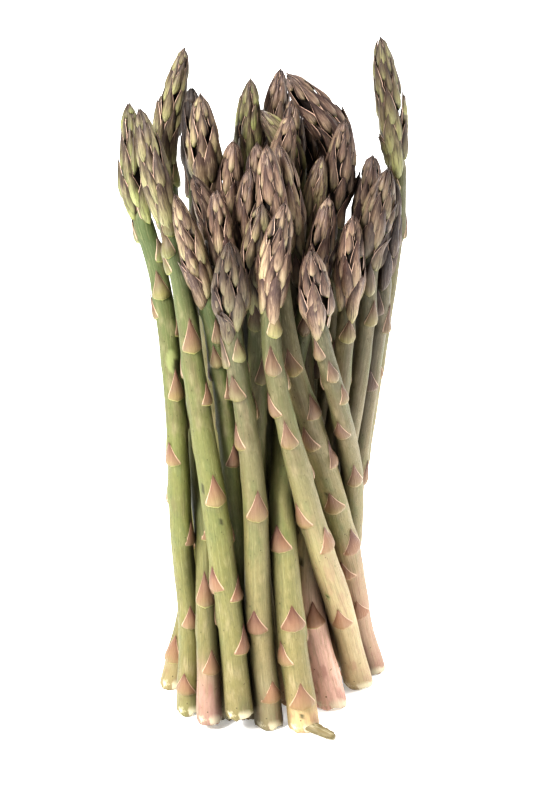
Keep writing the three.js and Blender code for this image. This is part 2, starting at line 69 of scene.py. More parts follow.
# Each spear: points of its middle line from the cut end to the tip, the stem's radius at the foot and
# at the neck, the head's length and radius, and its stated stem scales as (height, degrees round to
# the right of the front).
SPEARS = [
    ([(-26, -19, 0), (-24.3, -20, 50.5), (-27, -23, 96.5), (-31.2, -18, 138.5), (-36.2, -11, 171),
      (-44.6, -3, 200.5), (-47.2, 3, 232.5)],
     (4.2, 3.5), (40, 4.9), "GREEN",
     [(194, 30), (178, 60), (166, 0), (152, 90), (130, 15), (106, -40), (74, 60), (39, 10), (11, -25)]),
    ([(-8, -34, 7), (-12.5, -35, 55), (-16.8, -34, 90.5), (-22, -31, 132.5), (-28.4, -24, 181.5),
      (-35.6, -17, 209), (-42, -11, 234.5)],
     (4.9, 3.4), (38, 4.8), "GREEN",
     [(193, 10), (186, -40), (174, 90), (152, 15), (132, 60), (95, 20), (62, -50), (57, 70), (36, 60)]),
    ([(-5, -21, 0), (-6.5, -20, 64), (-10, -19, 96), (-13.5, -20, 128), (-20, -22, 165.5),
      (-26, -25, 189.5), (-31, -28, 209)],
     (3.9, 3.2), (40, 4.3), "GREEN",
     [(184, -30), (172, -40), (154, 35), (145, -5), (132, 60), (106, 30)]),
    ([(3, -28, 0), (0, -32, 53.5), (-1.5, -34, 94.5), (-5, -36, 127), (-9.5, -39, 156.5),
      (-11, -43, 196)],
     (5, 3.6), (32, 6), "GREEN",
     [(164, -20), (153, 30), (138, -30), (118, -60), (90, 15), (44, -20), (14, 30)]),
    ([(-2, -6, 0), (-2, -12, 60.5), (-2, -21, 116.5), (-1, -25, 157), (-2, -27, 184.5), (0.5, -27, 205)],
     (4.2, 3.4), (38, 5.1), "OLIVE",
     [(160, -10), (139, 25)]),
    ([(33, 7, 0), (27.5, -2, 26), (15, -25, 82.5), (8.5, -35, 118.5), (3, -37, 150.5), (3, -36, 178),
      (8, -36, 208.5)],
     (5.1, 3.5), (38, 5.3), "OLIVE",
     [(174, 20), (168, -35), (162, 30), (148, -5), (132, -60), (120, -5), (86, -45), (73, 60), (36, 0)]),
    ([(27, 20, 0), (32, 13, 44.5), (33.5, 5, 73), (32, -9, 101.5), (26, -25, 134), (20.5, -34, 160.5),
      (17.5, -39, 192)],
     (4.6, 3.3), (30, 5.5), "TAN",
     [(162, -20), (158, 60), (152, -30), (142, 25), (131, 60), (116, -15), (92, 20)]),
    ([(18, 10, 0), (24, 6, 68.5), (29, -6, 122.5), (31.5, -13, 160.5), (33.5, -16, 197.5)],
     (4.4, 3.3), (34, 5), "TAN",
     [(169, 30), (162, -10), (151, 15)]),
    ([(16, 26, 0), (28, 14, 73.5), (34.2, 6, 109.5), (38.8, -3, 152.5), (40.5, -8, 185.5), (46, -9, 213)],
     (4.4, 3.5), (32, 5.2), "TAN",
     [(180, 60), (155, 35)]),
    ([(26, 30, 0), (31, 20, 58), (35.2, 13, 94.5), (38.6, 5, 124), (41.4, -2, 152.5), (43.2, -6, 177),
      (46.2, -10, 206.5)],
     (4.5, 3.6), (38, 4.6), "TAN",
     [(166, 10), (156, -20), (148, 75), (124, -5), (81, 60)]),
    ([(22, 38, 0), (32, 29, 58), (38, 24, 98), (45, 20, 148), (49.8, 22, 194.5), (43, 26, 251)],
     (4.7, 3.5), (46, 4.9), "TAN",
     [(204, 10), (196, -30)]),
    ([(41, 20, 0), (37, 15, 17.5), (31.5, 3, 53.5), (24.5, -9, 87.5), (16, -17, 119), (9.5, -21, 144),
      (5, -22, 179), (1.5, -19, 223.5)],
     (5.4, 3.6), (36, 5), "TAN",
     [(142, 0), (124, 45), (112, -30), (102, 75), (84, 5), (63, 45), (52, -20), (32, 15)]),
    ([(27, -11, 0), (18, -6, 41), (16, -2, 80.5), (15.5, -5, 122), (14.5, -9, 162.5), (6.5, -7, 220.5)],
     (5.7, 3.6), (38, 5.5), "TAN",
     [(180, 60), (152, -60), (148, 30), (34, 15)]),
    ([(15.5, -32, 0), (10, -33, 45.5), (8, -30, 85), (9, -21, 112.5), (13.5, -12, 144.5),
      (20.5, -10, 178.5), (24, -9, 202)],
     (5.4, 3.6), (36, 5.2), "OLIVE",
     [(118, 60), (75, -20), (44, 15), (30, -50), (12, 10)]),
    ([(17, -2, 0), (9, -8, 58.5), (0, -13, 113.5), (-5, -14, 157), (-6, -14, 180), (-4.5, -12, 213.5)],
     (4.4, 3.5), (34, 5), "OLIVE",
     [(118, -30)]),
    ([(-14, -12, 0), (-9.5, -13, 60.5), (-8.5, -17, 127), (-11, -21, 167), (-14.5, -21, 189.5),
      (-16, -20, 208)],
     (3.9, 3.2), (30, 4.6), "OLIVE", []),
    ([(8, -14, 0), (0, -12, 60.5), (-6, -11, 124.5), (-12, -13, 172), (-16.5, -14, 193),
      (-23.5, -15, 211)],
     (3.9, 3.3), (32, 4.6), "OLIVE", []),
    ([(-13, -26, 0), (-12.5, -17, 46), (-15, -11, 92.5), (-19, -7, 130.5), (-20.5, -4, 161),
      (-19.5, -1, 190.5), (-22, 3, 236)],
     (3.5, 3.3), (34, 5.5), "OLIVE", []),
    ([(-19, -27, 3), (-20.5, -27, 51), (-21, -18, 76.5), (-21.5, -9, 104.5), (-22.6, -1, 148.5),
      (-22.4, 6, 192), (-25, 12, 236)],
     (4.4, 3.4), (34, 4.5), "OLIVE",
     [(74, 35), (52, -10), (26, 20)]),
    ([(-35, 3, 0), (-27.5, 6, 35), (-25.8, 9, 59), (-25.5, 14, 102), (-28, 18, 145), (-33.8, 21, 193),
      (-35.2, 22, 210), (-28, 24, 247)],
     (4.3, 3.3), (42, 4.2), "GREEN",
     [(216, -5), (208, 40), (58, -45), (12, -40)]),
    ([(-22, -6, 0), (-13.5, -7, 82.5), (-11, -6, 150), (-10, -5, 199.5), (-9, -5, 221)],
     (3.8, 3.2), (30, 4.4), "GREEN", []),
    ([(-9, -2, 0), (-3.5, -4, 73), (-2.5, -3, 141), (-2, -3, 191), (-2, -3, 220)],
     (3.9, 3.2), (30, 4.5), "OLIVE", []),
    ([(-9, 9, 0), (-4.5, 6, 68.5), (0, 3, 138.5), (4, -1, 198), (10, -4, 229.5)],
     (3.9, 3.2), (30, 4.5), "TAN", []),
    ([(0, 26, 0), (5, 18, 63), (10, 13, 135), (11.5, 11, 194), (9, 11, 215), (0, 11, 227.5)],
     (3.9, 3.3), (32, 4.6), "OLIVE", []),
    ([(-13, 21, 0), (-2.5, 18, 71.5), (5, 17, 141.5), (10, 20, 191), (11.5, 22, 228.5)],
     (4, 3.3), (32, 4.6), "TAN", []),
    ([(-28, 17, 0), (-20, 17, 72), (-13, 18, 141), (-6, 19, 191.5), (-4, 20, 237)],
     (4.2, 3.4), (34, 4.6), "GREEN", []),
    ([(-18, 31, 0), (-8.5, 26, 76.5), (-3.5, 27, 141.5), (1, 28, 188.5), (7, 30, 237.5)],
     (4.2, 3.4), (34, 4.9), "TAN", []),
    ([(-4, 38, 0), (9, 30, 74.5), (18.5, 22, 151.5), (24, 17, 192), (25.5, 15, 219), (9.5, 14, 240)],
     (4.4, 3.5), (42, 6.2), "TAN", []),
    ([(8, 33, 0), (17, 25, 77), (24.5, 14, 142.5), (26.2, 8, 187.5), (29.8, 5, 226.5)],
     (4.4, 3.4), (36, 5.3), "TAN", []),
    ([(16, 38, 0), (24.5, 29, 75), (32.3, 17, 141.5), (37, 10, 183), (40.2, 7, 212)],
     (4.2, 3.4), (30, 4.7), "TAN", []),
    ([(6, 16, 0), (14.5, 8, 67.5), (17, 4, 118.5), (18.5, 1, 159), (19, 0, 198), (22, 2, 213)],
     (3.9, 3.2), (26, 4), "OLIVE", []),
    ([(5, 42, 0), (13, 38, 70), (19, 32, 148), (20, 29, 182.5), (19, 28, 198.5), (17, 27, 222)],
     (4.3, 3.4), (34, 4.6), "TAN", []),
]

# How each spear is coloured, in the order of the rows: how brown and purple its head is, how dry and tan
# its stem is, the tint of its foot, how far up that goes in millimetres, how strong it is, and how much
# darker its leaves are.
LOOKS = [
    (0.08, 0.1, "8f9060", 12, 0.3, 0.14), (0.22, 0.15, "9a9458", 10, 0.2, 0.26),
    (0.4, 0.1, "a88a66", 16, 0.6, 0), (0.35, 0.6, "8c8668", 40, 0.5, 0.52),
    (0.28, 0.4, "a89070", 20, 0.4, 0), (0.45, 0.6, "c4b08c", 110, 0.55, 0),
    (0.55, 0.8, "b09470", 30, 0.6, 0.18), (0.5, 0.9, "b09078", 34, 0.6, 0.03),
    (0.45, 0.85, "b89a7c", 30, 0.5, 0.46), (0.9, 0.95, "b4947a", 30, 0.6, 0.42),
    (0.18, 0.7, "b4987c", 24, 0.5, 0.3), (0.55, 0.8, "a88a76", 78, 0.8, 0),
    (0.45, 1.0, "dcb4a4", 66, 0.85, 0), (0.75, 0.4, "c6ac80", 16, 0.8, 0),
    (0.5, 0.4, "a89470", 20, 0.4, 0.1), (0.55, 0.5, "a89078", 26, 0.5, 0.06),
    (0.75, 0.5, "b08c78", 22, 0.5, 0.08), (0.35, 0.5, "a8a078", 14, 0.5, 0),
    (0.9, 0.2, "b08a80", 38, 0.75, 0.72), (0.2, 0.2, "a0906a", 16, 0.5, 0.1),
    (0.6, 0.5, "a8947a", 20, 0.4, 0), (0.7, 0.5, "b0947c", 20, 0.5, 0),
    (0.45, 0.6, "b49a80", 26, 0.5, 0), (0.15, 0.5, "a8986c", 20, 0.4, 0),
    (0.7, 0.6, "b49480", 28, 0.6, 0), (0.08, 0.5, "b09070", 24, 0.6, 0),
    (0.75, 0.6, "b8927c", 30, 0.7, 0.02), (0.85, 0.8, "b09680", 26, 0.5, 0.02),
    (0.65, 0.8, "b4947c", 26, 0.6, 0.15), (0.95, 0.9, "b8987c", 30, 0.6, 0.1),
    (0.35, 0.6, "ac9474", 22, 0.5, 0), (1.0, 0.7, "ac9474", 22, 0.5, 0),
]

# Marks on the skins: where up the spear, degrees round to the right of the front, half the height and half
# the width in millimetres, and whether it is a pale graze or a dark nick.
MARKS = {
    "spear_01": [(143.5, 8, 4.6, 2.4, "graze"), (141, 36, 3.6, 1.7, "nick")],
    "spear_06": [(56, -25, 1.6, 1.1, "graze"), (56, -22, 0.9, 0.6, "nick")],
    "spear_13": [(60, -25, 1.5, 1.0, "nick")],
    "spear_14": [(8, 0, 0.9, 0.9, "nick")],
    "spear_02": [(94, -35, 2.2, 0.7, "nick"), (81, 25, 1.2, 0.7, "nick")],
    "spear_12": [(98, -10, 1.2, 0.8, "nick"), (40, -30, 1.2, 1.0, "nick")],
}


# ---- Middle lines ----

def slope_at(path, i, axis):
    """The slope of a coordinate against height at point i of a path."""
    def rise(a, b):
        return (path[b][axis] - path[a][axis]) / (path[b][2] - path[a][2])
    if i == 0:
        return rise(0, 1)
    if i == len(path) - 1:
        return rise(i - 1, i)
    below = path[i][2] - path[i - 1][2]
    above = path[i + 1][2] - path[i][2]
    return (rise(i, i + 1) * below + rise(i - 1, i) * above) / (below + above)


def line_at(path, z):
    """The smooth line through a path's points, as (x, y) at height z."""
    i = 0
    while i < len(path) - 2 and z > path[i + 1][2]:
        i += 1
    span = path[i + 1][2] - path[i][2]
    t = (z - path[i][2]) / span
    bend = (2 * t - 3) * t * t
    place = []
    for axis in (0, 1):
        leave = slope_at(path, i, axis) * span
        arrive = slope_at(path, i + 1, axis) * span
        place.append(path[i][axis] * (1 + bend) - path[i + 1][axis] * bend
                     + leave * t * (1 - t) * (1 - t) + arrive * t * t * (t - 1))
    return place


def eased(x, low, high):
    """0 below low, 1 above high and a smooth rise between them."""
    t = np.clip((np.asarray(x, float) - low) / (high - low), 0, 1)
    return t * t * (3 - 2 * t)


class Spear:
    """One spear: its middle line, its length up from the cut end, and its radius."""

    def __init__(self, name, row, look):
        self.name, self.look = name, look
        self.path, self.stem, self.head, self.tint, self.stated = row
        self.foot, self.tip = self.path[0][2], self.path[-1][2]
        steps = math.ceil(self.tip - self.foot)
        self.heights = np.linspace(self.foot, self.tip, steps + 1)
        home = np.array([line_at(self.path, z) for z in self.heights])
        places = np.column_stack([home, self.heights])
        self.up = np.concatenate([[0], np.cumsum(np.linalg.norm(np.diff(places, axis=0), axis=1))])
        self.length = self.up[-1]

    def up_at(self, z):
        return np.interp(z, self.heights, self.up)

    def height_at(self, up):
        return np.interp(up, self.up, self.heights)

    def radius_at(self, up):
        """The radius over stem, neck and head, at a length up from the cut end."""
        up = np.asarray(up, float)
        foot_radius, neck_radius = self.stem
        head_length, head_radius = self.head
        neck = self.length - head_length
        flare = FLARE * (1 - eased(self.height_at(up) - self.foot, 0, FLARE_HEIGHT))
        stem = foot_radius + (neck_radius - foot_radius) * eased(up / neck, TAPER_FROM, 1) + flare
        t = np.clip((up - neck) / head_length, 0, 1)
        swell = neck_radius + (head_radius - neck_radius) * eased(t, 0, SHOULDER)
        past = np.clip((t - SHOULDER) / (1 - SHOULDER), 0, 1)
        point = head_radius * np.sqrt(1 - past ** TIP_POWER)
        return np.where(up <= neck, stem, np.where(t < SHOULDER, swell, point))


def settle(spears):
    """Presses spears that stand too close apart, level by level and mostly in depth, and smooths each
    one's shifts along it. Gives the shifts as (spear, level, axis)."""
    zs = np.arange(LEVELS) * LEVEL
    on = np.array([(zs >= s.foot - LEVEL / 2) & (zs <= s.tip) for s in spears])
    held = [np.clip(zs, s.foot, s.tip) for s in spears]
    home = np.array([[line_at(s.path, z) for z in zc] for s, zc in zip(spears, held)])
    radius = np.array([s.radius_at(s.up_at(zc)) for s, zc in zip(spears, held)])
    for i, (s, zc) in enumerate(zip(spears, held)):
        for k, z in enumerate(zc):
            low, high = max(z - 0.5, s.foot), min(z + 0.5, s.tip)
            lean = math.dist(line_at(s.path, low), line_at(s.path, high)) / (high - low)
            radius[i, k] *= (1 + lean ** 2) ** 0.25
    shift = np.zeros_like(home)
    first, second = np.triu_indices(len(spears), 1)
    both = on[first] & on[second]
    room = radius[first] + radius[second] + CLEAR
    for turn in range(ROUNDS):
        place = home + shift
        gap = place[first] - place[second]
        apart = np.linalg.norm(gap, axis=2) + 1e-9
        lack = np.where(both, np.maximum(room - apart, 0), 0)
        nx, ny = gap[..., 0] / apart, gap[..., 1] / apart
        step = PRESS * lack / (SIDEWAYS * nx * nx + ny * ny)
        push = np.stack([step * SIDEWAYS * nx, step * ny], axis=2)
        moved = shift.copy()
        np.add.at(moved, first, push)
        np.subtract.at(moved, second, push)
        lower = np.concatenate([moved[:, :1], moved[:, :-1]], axis=1)
        upper = np.concatenate([moved[:, 1:], moved[:, -1:]], axis=1)
        keep = EASE if turn < ROUNDS * EASING_SHARE else 1
        shift = keep * (0.25 * lower + 0.5 * moved + 0.25 * upper)
    return shift


def settled_line(spear, shift, ups):
    """Places on the spear's settled middle line, in millimetres, at these lengths up from the foot.
    Past the tip the line runs straight on."""
    inside = np.minimum(ups, spear.length)
    z = spear.height_at(inside)
    home = np.array([line_at(spear.path, h) for h in z])
    levels = np.arange(LEVELS) * LEVEL
    moved = np.column_stack([np.interp(z, levels, shift[:, axis]) for axis in (0, 1)])
    line = np.column_stack([home + moved - np.array(MIDDLE), z])
    heading = line[ups <= spear.length][-1] - line[ups <= spear.length][-4]
    heading /= np.linalg.norm(heading)
    return line + np.maximum(ups - spear.length, 0)[:, None] * heading


# Where another spear is nearer than this to a spear's skin, in millimetres, painted shade darkens the skin.
CREASE = 6.5
# How many places on each middle line are looked at for that.
CREASE_PLACES = 120


def pressed(place, spear, lines):
    """Painted shade from the spears around: how close another spear comes to each place, 1 where it touches
    and 0 from CREASE away. The lines are of (spear, rows of x, y, z and radius), and all of it is in
    millimetres."""
    gap = np.full(len(place), np.inf)
    for other, line in lines:
        if other is not spear:
            x, y, radius = (np.interp(place[:, 2], line[:, 2], line[:, i]) for i in (0, 1, 3))
            away = np.hypot(place[:, 0] - x, place[:, 1] - y) - radius
            gap = np.minimum(gap, np.where(place[:, 2] > line[-1, 2], np.inf, away))
    return 1 - eased(gap, 0, CREASE)


# ---- Meshes and objects ----

def mark(mesh, name, kind, values, domain="POINT"):
    """Keeps a value by this name on every point of a mesh, or on every edge."""
    made = mesh.attributes.new(name, kind, domain)
    field = {"FLOAT_VECTOR": "vector", "FLOAT_COLOR": "color"}.get(kind, "value")
    values = values if kind == "BOOLEAN" else np.asarray(values, np.float32).ravel()
    made.data.foreach_set(field, values)


def placed(name, data):
    """A new object in the scene."""
    piece = bpy.data.objects.new(name, data)
    bpy.context.scene.collection.objects.link(piece)
    return piece


# ---- Leaves on a spear ----

# Head bracts go up a golden spiral, closer together towards the tip.
BRACTS_PER_MM = 0.9
BRACT_CROWDING = 0.5
BRACT_START = -4
BRACT_END = 0.93
# Below the head a few more stand apart on the neck.
NECK_GAPS = (4.5, 9.5, 15, 21)
# Some of the lower bracts stand open, with a pair of buds inside.
OPEN_BELOW = 0.5
OPEN_SHARE = 0.22
BUD_TURN = 0.22
BUD_SIZE = 0.62
# How tall the leaves are in millimetres, and how much that strays: stem scales, those on the neck, and
# bracts, which are shorter by the last value at the tip.
SCALE_TALL = (10.6, 1.8)
NECK_TALL = (13, 1)
BRACT_TALL = (17.0, 2, 8.5)
# Half of how wide they are: scales and neck leaves in radians round the stem, with how much wider the low
# scales are, and bracts in millimetres, with how much narrower they are at the tip.
SCALE_WIDE = (0.86, 0.16, 0.06)
NECK_WIDE = 0.8
BRACT_HALF = (3.4, 0.35, 1.7)
# From this far below the neck to that far, in millimetres, scales turn from fresh to old.
SCALE_AGES = (8, 46)
# Nearer than this to a stem scale on its side, in millimetres, no leaf stands on the neck.
NECK_ROOM = 8
# How far the stem scales keep from the head and from the cut, in millimetres.
NECK_MARGIN = 2
SCALE_MARGIN = 3.5
FOOT_MARGIN = 4


def scale_places(spear):
    """The stem's scales as (length up from the foot, turn): the stated ones, one on the far side between
    each two of them, and those that follow below at growing gaps."""
    stated = list(spear.stated)
    between = [((a[0] + b[0]) / 2, b[1] + 180) for a, b in zip(stated, stated[1:])]
    neck = float(spear.height_at(spear.length - spear.head[0] - NECK_MARGIN))
    z, turn = stated[-1] if stated else (neck, 0)
    gap = FIRST_GAP * GAP_GROWTH ** (len(stated) / 2)
    following = []
    while z - gap > spear.foot + FOOT_MARGIN:
        z -= gap
        turn += SCALE_TURN
        gap *= GAP_GROWTH
        following.append((z, turn))
    places = stated + between + following
    return [(float(spear.up_at(z)), turn) for z, turn in places if z < neck - SCALE_MARGIN]


def leaves_of(spear, rng):
    """Every leaf of the spear as a dict of its sizes, in millimetres and radians."""
    neck = spear.length - spear.head[0]
    leaves = []

    def strayed(middle, stray):
        return middle + rng.uniform(-stray, stray)

    places = scale_places(spear)
    for up, turn in places:
        low = float(eased(neck - up, *SCALE_AGES))
        leaves.append(dict(
            up=up - 1, turn=math.radians(turn), tall=strayed(*SCALE_TALL),
            wide=strayed(*SCALE_WIDE[:2]) + SCALE_WIDE[2] * low, low=-0.12, high=0.15,
            flick=0.4 * rng.random(), thick=1.4 - 0.6 * low, broad=0.7 + 0.3 * low,
            skew=rng.uniform(-0.1, 0.1), tone=rng.random(), fresh=1 - low, tilt=0.0))
    roll = spear.stated[0][1] if spear.stated else rng.uniform(0, 360)
    for k, gap in enumerate(NECK_GAPS):
        up, turn = neck - gap, roll - GOLDEN_TURN * (k + 1)
        if any(abs(up - u) < NECK_ROOM and math.cos(math.radians(turn - t)) > 0 for u, t in places):
            continue
        leaves.append(dict(
            up=up, turn=math.radians(turn), tall=strayed(*NECK_TALL), wide=NECK_WIDE, low=-0.15,
            high=0.3, flick=0.5 * rng.random(), thick=1.6, broad=0.45, skew=rng.uniform(-0.15, 0.15),
            tone=rng.random(), fresh=1.0, tilt=rng.uniform(-0.2, 0.2)))
    bracts = round(BRACTS_PER_MM * spear.head[0])
    for k in range(bracts):
        t = k / bracts
        share = t * (1 + BRACT_CROWDING - BRACT_CROWDING * t)
        up = neck + BRACT_START + share * (BRACT_END * spear.head[0] - BRACT_START) + rng.uniform(-1.4, 1.4)
        tall = strayed(*BRACT_TALL[:2]) - BRACT_TALL[2] * share
        tall = min(tall, spear.length + rng.uniform(0.2, 1.6) - up)
        radius = max(float(spear.radius_at(up + 0.3 * tall)), 1.2)
        half = strayed(*BRACT_HALF[:2]) - BRACT_HALF[2] * share
        stand = rng.uniform(-0.45, 0.35)
        turn = math.radians(roll + GOLDEN_TURN * k + rng.uniform(-12, 12))
        leaves.append(dict(
            up=up, turn=turn, tall=tall, wide=half / radius, low=-0.7 + stand,
            high=(0.25 + stand) * (1 - share ** 2), flick=1.1 * rng.random() * (1 - share),
            thick=2.0 - 1.1 * share, broad=0.0, skew=rng.uniform(-0.3, 0.3), tone=rng.random(),
            fresh=1 - 0.8 * share, tilt=rng.choice((-1, 1)) * rng.uniform(0.1, 0.5) * (1 - 0.6 * share)))
        if share < OPEN_BELOW and rng.random() < OPEN_SHARE:
            leaves[-1].update(high=1.0 + stand, flick=1.0, tall=0.85 * tall)
            for side in (-BUD_TURN, BUD_TURN):
                leaves.append(dict(
                    up=up + 0.3 * tall, turn=turn + side, tall=BUD_SIZE * tall, wide=0.5 * half / radius,
                    low=-0.2, high=0.5, flick=0.4, thick=1.5, broad=0.0, skew=-side, tone=rng.random(),
                    fresh=0.5, tilt=0.0))
    return leaves


LEAF_SIZES = ("up", "tall", "low", "high", "flick", "thick", "tilt")
LEAF_SHARES = ("turn", "wide", "broad", "skew", "tone", "fresh")
LINE_STEP = 1.5
LINE_PAST = 6.0
# The stem swells into a knuckle under each scale: how far it stands out, and how far it runs down and up.
KNUCKLE = 0.8
KNUCKLE_BELOW = 1.6
KNUCKLE_ABOVE = 7.0
CORE_SHARE = 0.62
BRIM = 0.94


def line_mesh(spear, shift, leaves):
    """The spear's middle line as a chain of edges, and one loose point for each leaf."""
    ups = np.arange(0, spear.length + LINE_PAST, LINE_STEP)
    line = settled_line(spear, shift, ups) * MM
    reach = spear.radius_at(ups)
    neck = spear.length - spear.head[0]
    core = reach * (1 - (1 - CORE_SHARE) * eased(ups, neck - 4, neck + 6))
    core[0] *= BRIM
    mesh = bpy.data.meshes.new(spear.name + "_line")
    count = len(ups) + len(leaves)
    points = np.concatenate([line, np.zeros((len(leaves), 3))])
    mesh.from_pydata(points.tolist(), [(i, i + 1) for i in range(len(ups) - 1)], [])
    on_line, on_leaves = [0.0] * len(ups), [0.0] * len(leaves)
    values = {"reach": [*(reach * MM), *on_leaves], "core": [*(core * MM), *on_leaves],
              "is_leaf": on_line + [1.0] * len(leaves)}
    for names, unit in ((LEAF_SIZES, MM), (LEAF_SHARES, 1)):
        for name in names:
            values["leaf_" + name] = on_line + [leaf[name] * unit for leaf in leaves]
    for name, numbers in values.items():
        mark(mesh, name, "FLOAT", numbers)
    swell = np.zeros((count, 3), np.float32)
    for up, turn in scale_places(spear):
        far = (ups - up) / np.where(ups < up, KNUCKLE_BELOW, KNUCKLE_ABOVE)
        side = np.array([math.sin(math.radians(turn)), -math.cos(math.radians(turn)), 0])
        swell[:len(ups)] += KNUCKLE * MM * np.exp(-far ** 2)[:, None] * side
    mark(mesh, "knuckle", "FLOAT_VECTOR", swell)
    return mesh


# A leaf is a lens of few faces: a bulged front over a back that runs straight from edge to edge. It has
# two outlines, a pointed bract and a triangular scale, and the tree mixes them.
ACROSS = (-1, -0.82, -0.42, 0, 0.42, 0.82, 1)
ALONG = (0, 0.05, 0.16, 0.32, 0.5, 0.68, 0.85, 1)
BRACT_WIDTH = (0.38, 0.72, 0.97, 1.0, 0.82, 0.56, 0.29, 0.03)
BRACT_BULGE = (0.1, 0.72, 1.0, 0.98, 0.75, 0.5, 0.28, 0.1)
BRACT_KEEL = 1.25
BRACT_DIP = 0.1
SCALE_WIDTH = (0.92, 1.0, 0.92, 0.7, 0.48, 0.29, 0.14, 0.02)
SCALE_BULGE = (0.0, 1.05, 1.0, 0.8, 0.62, 0.5, 0.4, 0.2)
SCALE_KEEL = 2.2
SCALE_DIP = 0.1


def leaf_mesh():
    """The leaf's faces, with its bract form in place and its scale form as an attribute."""
    rows, columns = len(ALONG), len(ACROSS)
    bract, scale, blade, faces = [], [], [], []
    for r, v in enumerate(ALONG[:-1]):
        for u in ACROSS:
            dip = (1 - abs(u)) * (1 - v) ** 2
            bract.append((u * BRACT_WIDTH[r], v - BRACT_DIP * dip,
                          BRACT_BULGE[r] * (1 - abs(u) ** BRACT_KEEL)))
            scale.append((u * SCALE_WIDTH[r], v - SCALE_DIP * dip,
                          SCALE_BULGE[r] * (1 - 0.8 * abs(u) ** SCALE_KEEL)))
            blade.append((u, v, 0))
    tip = len(bract)
    bract.append((0, 1, 0.04))
    scale.append((0, 1, 0.1))
    blade.append((0, 1, 0))
    for r in range(rows - 2):
        for c in range(columns - 1):
            a = r * columns + c
            faces.append((a, a + 1, a + 1 + columns, a + columns))
        a = r * columns
        faces.append((a, a + columns, a + 2 * columns - 1, a + columns - 1))
    last = (rows - 2) * columns
    faces += [(last + c, last + c + 1, tip) for c in range(columns - 1)]
    faces.append((last, tip, last + columns - 1))
    faces.append(tuple(range(columns - 1, -1, -1)))
    mesh = bpy.data.meshes.new("leaf")
    mesh.from_pydata(bract, [], faces)
    mark(mesh, "scale_form", "FLOAT_VECTOR", scale)
    mark(mesh, "blade", "FLOAT_VECTOR", blade)
    rim = {(r * columns + c) for r in range(rows - 1) for c in (0, columns - 1)} | set(range(columns)) | {tip}
    mark(mesh, "sharp_edge", "BOOLEAN", [set(e.vertices) <= rim for e in mesh.edges], "EDGE")
    return mesh


# ---- Nodes ----

# The kinds of node used more than once, with what they are set to.
PLUS, MINUS, TIMES, OVER, POWER, LARGER, ABOVE, SINE, COSINE, UNSIGNED = (
    ("ShaderNodeMath", {"operation": operation})
    for operation in ("ADD", "SUBTRACT", "MULTIPLY", "DIVIDE", "POWER", "MAXIMUM", "GREATER_THAN", "SINE",
                      "COSINE", "ABSOLUTE"))
VECTOR_PLUS, VECTOR_MINUS, VECTOR_TIMES, DOT, CROSS, UNIT, REACH = (
    ("ShaderNodeVectorMath", {"operation": operation})
    for operation in ("ADD", "SUBTRACT", "SCALE", "DOT_PRODUCT", "CROSS_PRODUCT", "NORMALIZE", "LENGTH"))
READ, READ_VECTOR = (("GeometryNodeInputNamedAttribute", {"data_type": kind})
                     for kind in ("FLOAT", "FLOAT_VECTOR"))
KEEP, KEEP_VECTOR = (("GeometryNodeStoreNamedAttribute", {"data_type": kind, "domain": "POINT"})
                     for kind in ("FLOAT", "FLOAT_VECTOR"))
SAMPLE = ("GeometryNodeSampleCurve", {"mode": "LENGTH", "use_all_curves": True})
EVENLY = "ShaderNodeMapRange"
SMOOTHLY = (EVENLY, {"interpolation_type": "SMOOTHSTEP"})
BLEND = ("ShaderNodeMix", {"data_type": "RGBA"})
SPLIT = "ShaderNodeSeparateXYZ"
JOIN = "ShaderNodeCombineXYZ"
NOISE = "ShaderNodeTexNoise"
RAMP = "ShaderNodeValToRGB"


def add(tree, kind, *values, inputs=None, take=None, stops=(), **settings):
    """Adds a node with its settings. The values go to its inputs in order, where None leaves one as it
    is, and `inputs` to the named ones: an output of another node is linked. `stops` are a colour ramp's
    (position, hex colour). Gives the node's first output or the named one."""
    kind, preset = kind if isinstance(kind, tuple) else (kind, {})
    node = tree.nodes.new(kind)
    for name, value in {**preset, **settings}.items():
        setattr(node, name, value)
    usable = [s for s in node.inputs if s.enabled]
    by_name = [(next(s for s in usable if s.name == name), value) for name, value in (inputs or {}).items()]
    for socket, value in [*zip(usable, values), *by_name]:
        if isinstance(value, bpy.types.NodeSocket):
            tree.links.new(value, socket)
        elif value is not None:
            socket.default_value = value
    for _ in stops[2:]:
        node.color_ramp.elements.new(1.0)
    for i, (position, hex_colour) in enumerate(stops):
        node.color_ramp.elements[i].position = position
        node.color_ramp.elements[i].color = linear(hex_colour)
    usable = [s for s in node.outputs if s.enabled]
    return next((s for s in usable if s.name == take), usable[0] if usable else None)


def also(socket, name):
    """Another output of the node that a socket belongs to."""
    return next(s for s in socket.node.outputs if s.enabled and s.name == name)


def new_group(name, wants, gives):
    """A new Geometry Nodes tree with these inputs and outputs, as (name, kind), and its inputs."""
    tree = bpy.data.node_groups.new(name, "GeometryNodeTree")
    for way, sockets in (("INPUT", wants), ("OUTPUT", gives)):
        for label, kind in sockets:
            tree.interface.new_socket(label, in_out=way, socket_type="NodeSocket" + kind)
    return tree, add(tree, "NodeGroupInput").node.outputs


